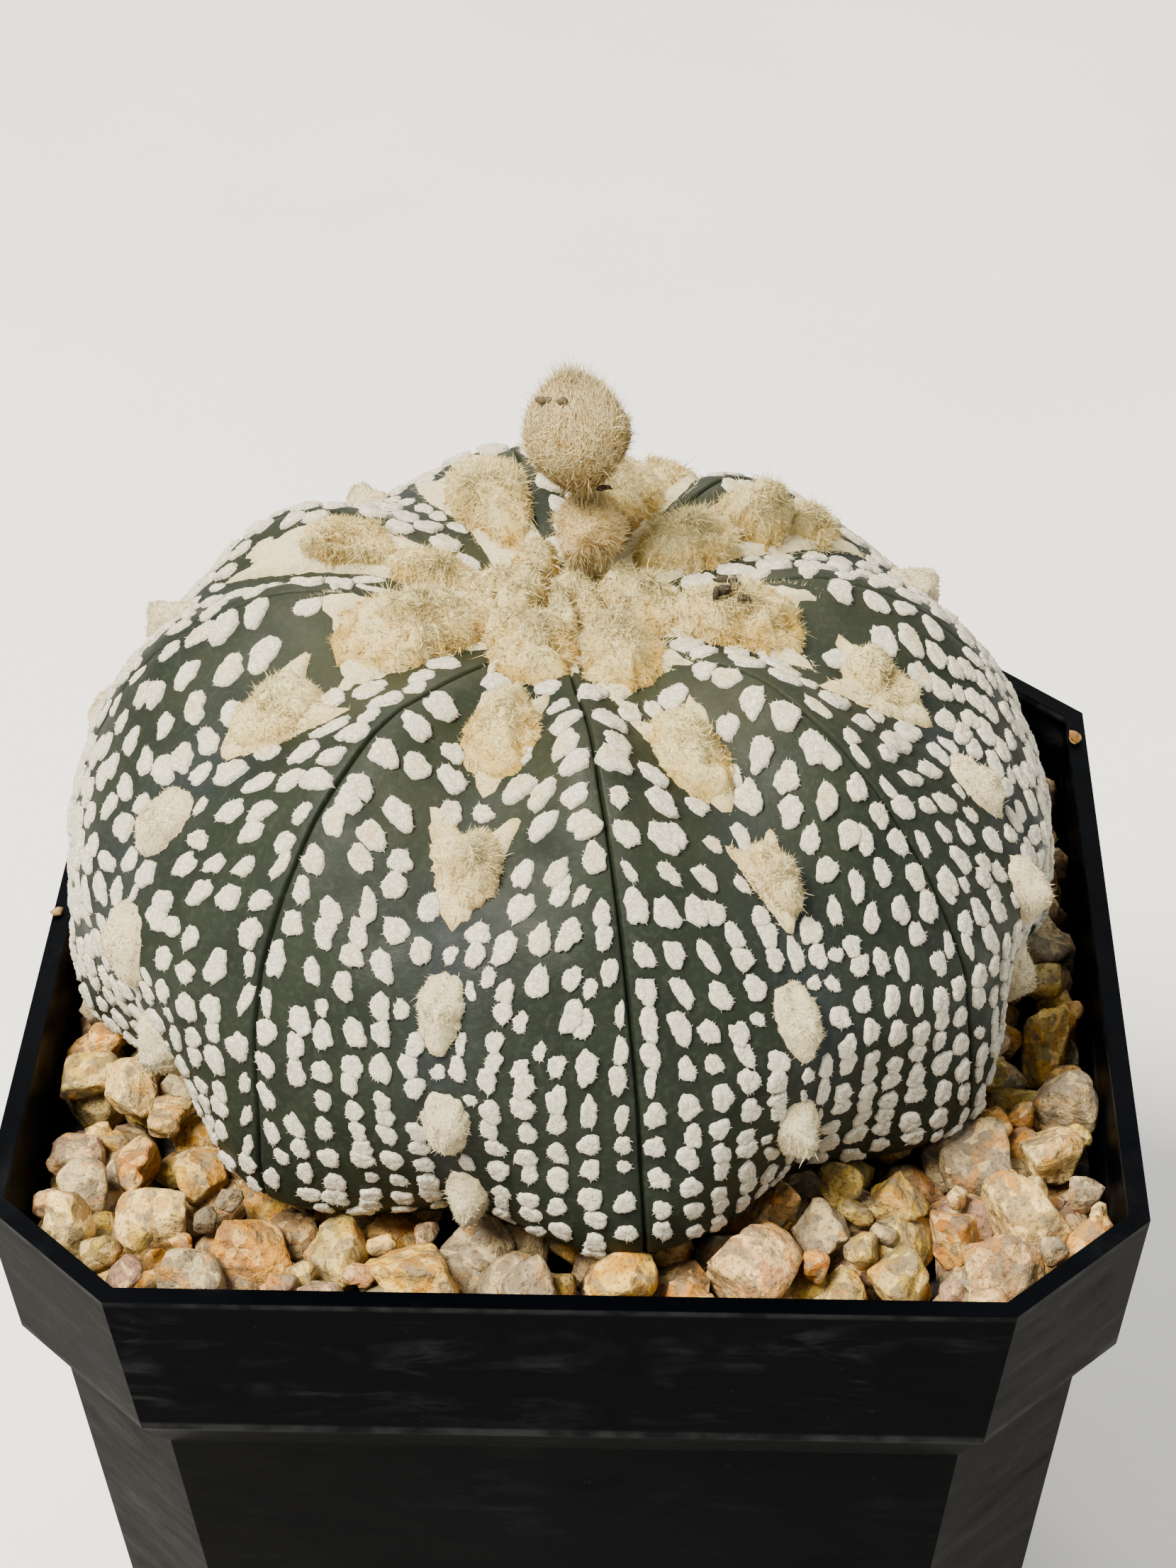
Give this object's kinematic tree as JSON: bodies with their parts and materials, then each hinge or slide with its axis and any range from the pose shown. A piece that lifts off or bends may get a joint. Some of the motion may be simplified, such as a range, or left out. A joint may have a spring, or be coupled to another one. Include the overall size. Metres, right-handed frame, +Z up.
{
  "type": "potted super kabuto star cactus",
  "caption": "Round ribbed star cactus with dense white flecks, woolly areoles and a bud, in a square black nursery pot dressed with granite grit.",
  "frame": {"origin": "middle of the face that the pot stands on", "axes": "+Z up, -Y towards the side that the picture shows, +X to the right in that view"},
  "size_m": [0.085, 0.085, 0.1243],
  "materials": {
    "pot_plastic": "black moulded plastic, satin, dusty and scuffed",
    "growing_mix": "loose dark mineral and bark mix, rough",
    "granite_grit": "weathered granite, cream to orange and grey, rough",
    "cactus_skin": "matte dark green skin with raised white felt flecks",
    "areole_wool": "dense cream felt wool",
    "bud_wool": "beige silky wool over a tan bud"
  },
  "bodies": {
    "root": {"pot": "pot_plastic", "growing_mix": "growing_mix", "gravel_top_dressing": "granite_grit", "cactus_body": "cactus_skin", "crown_wool": "areole_wool", "flower_bud": "bud_wool"}
  },
  "joints": []
}
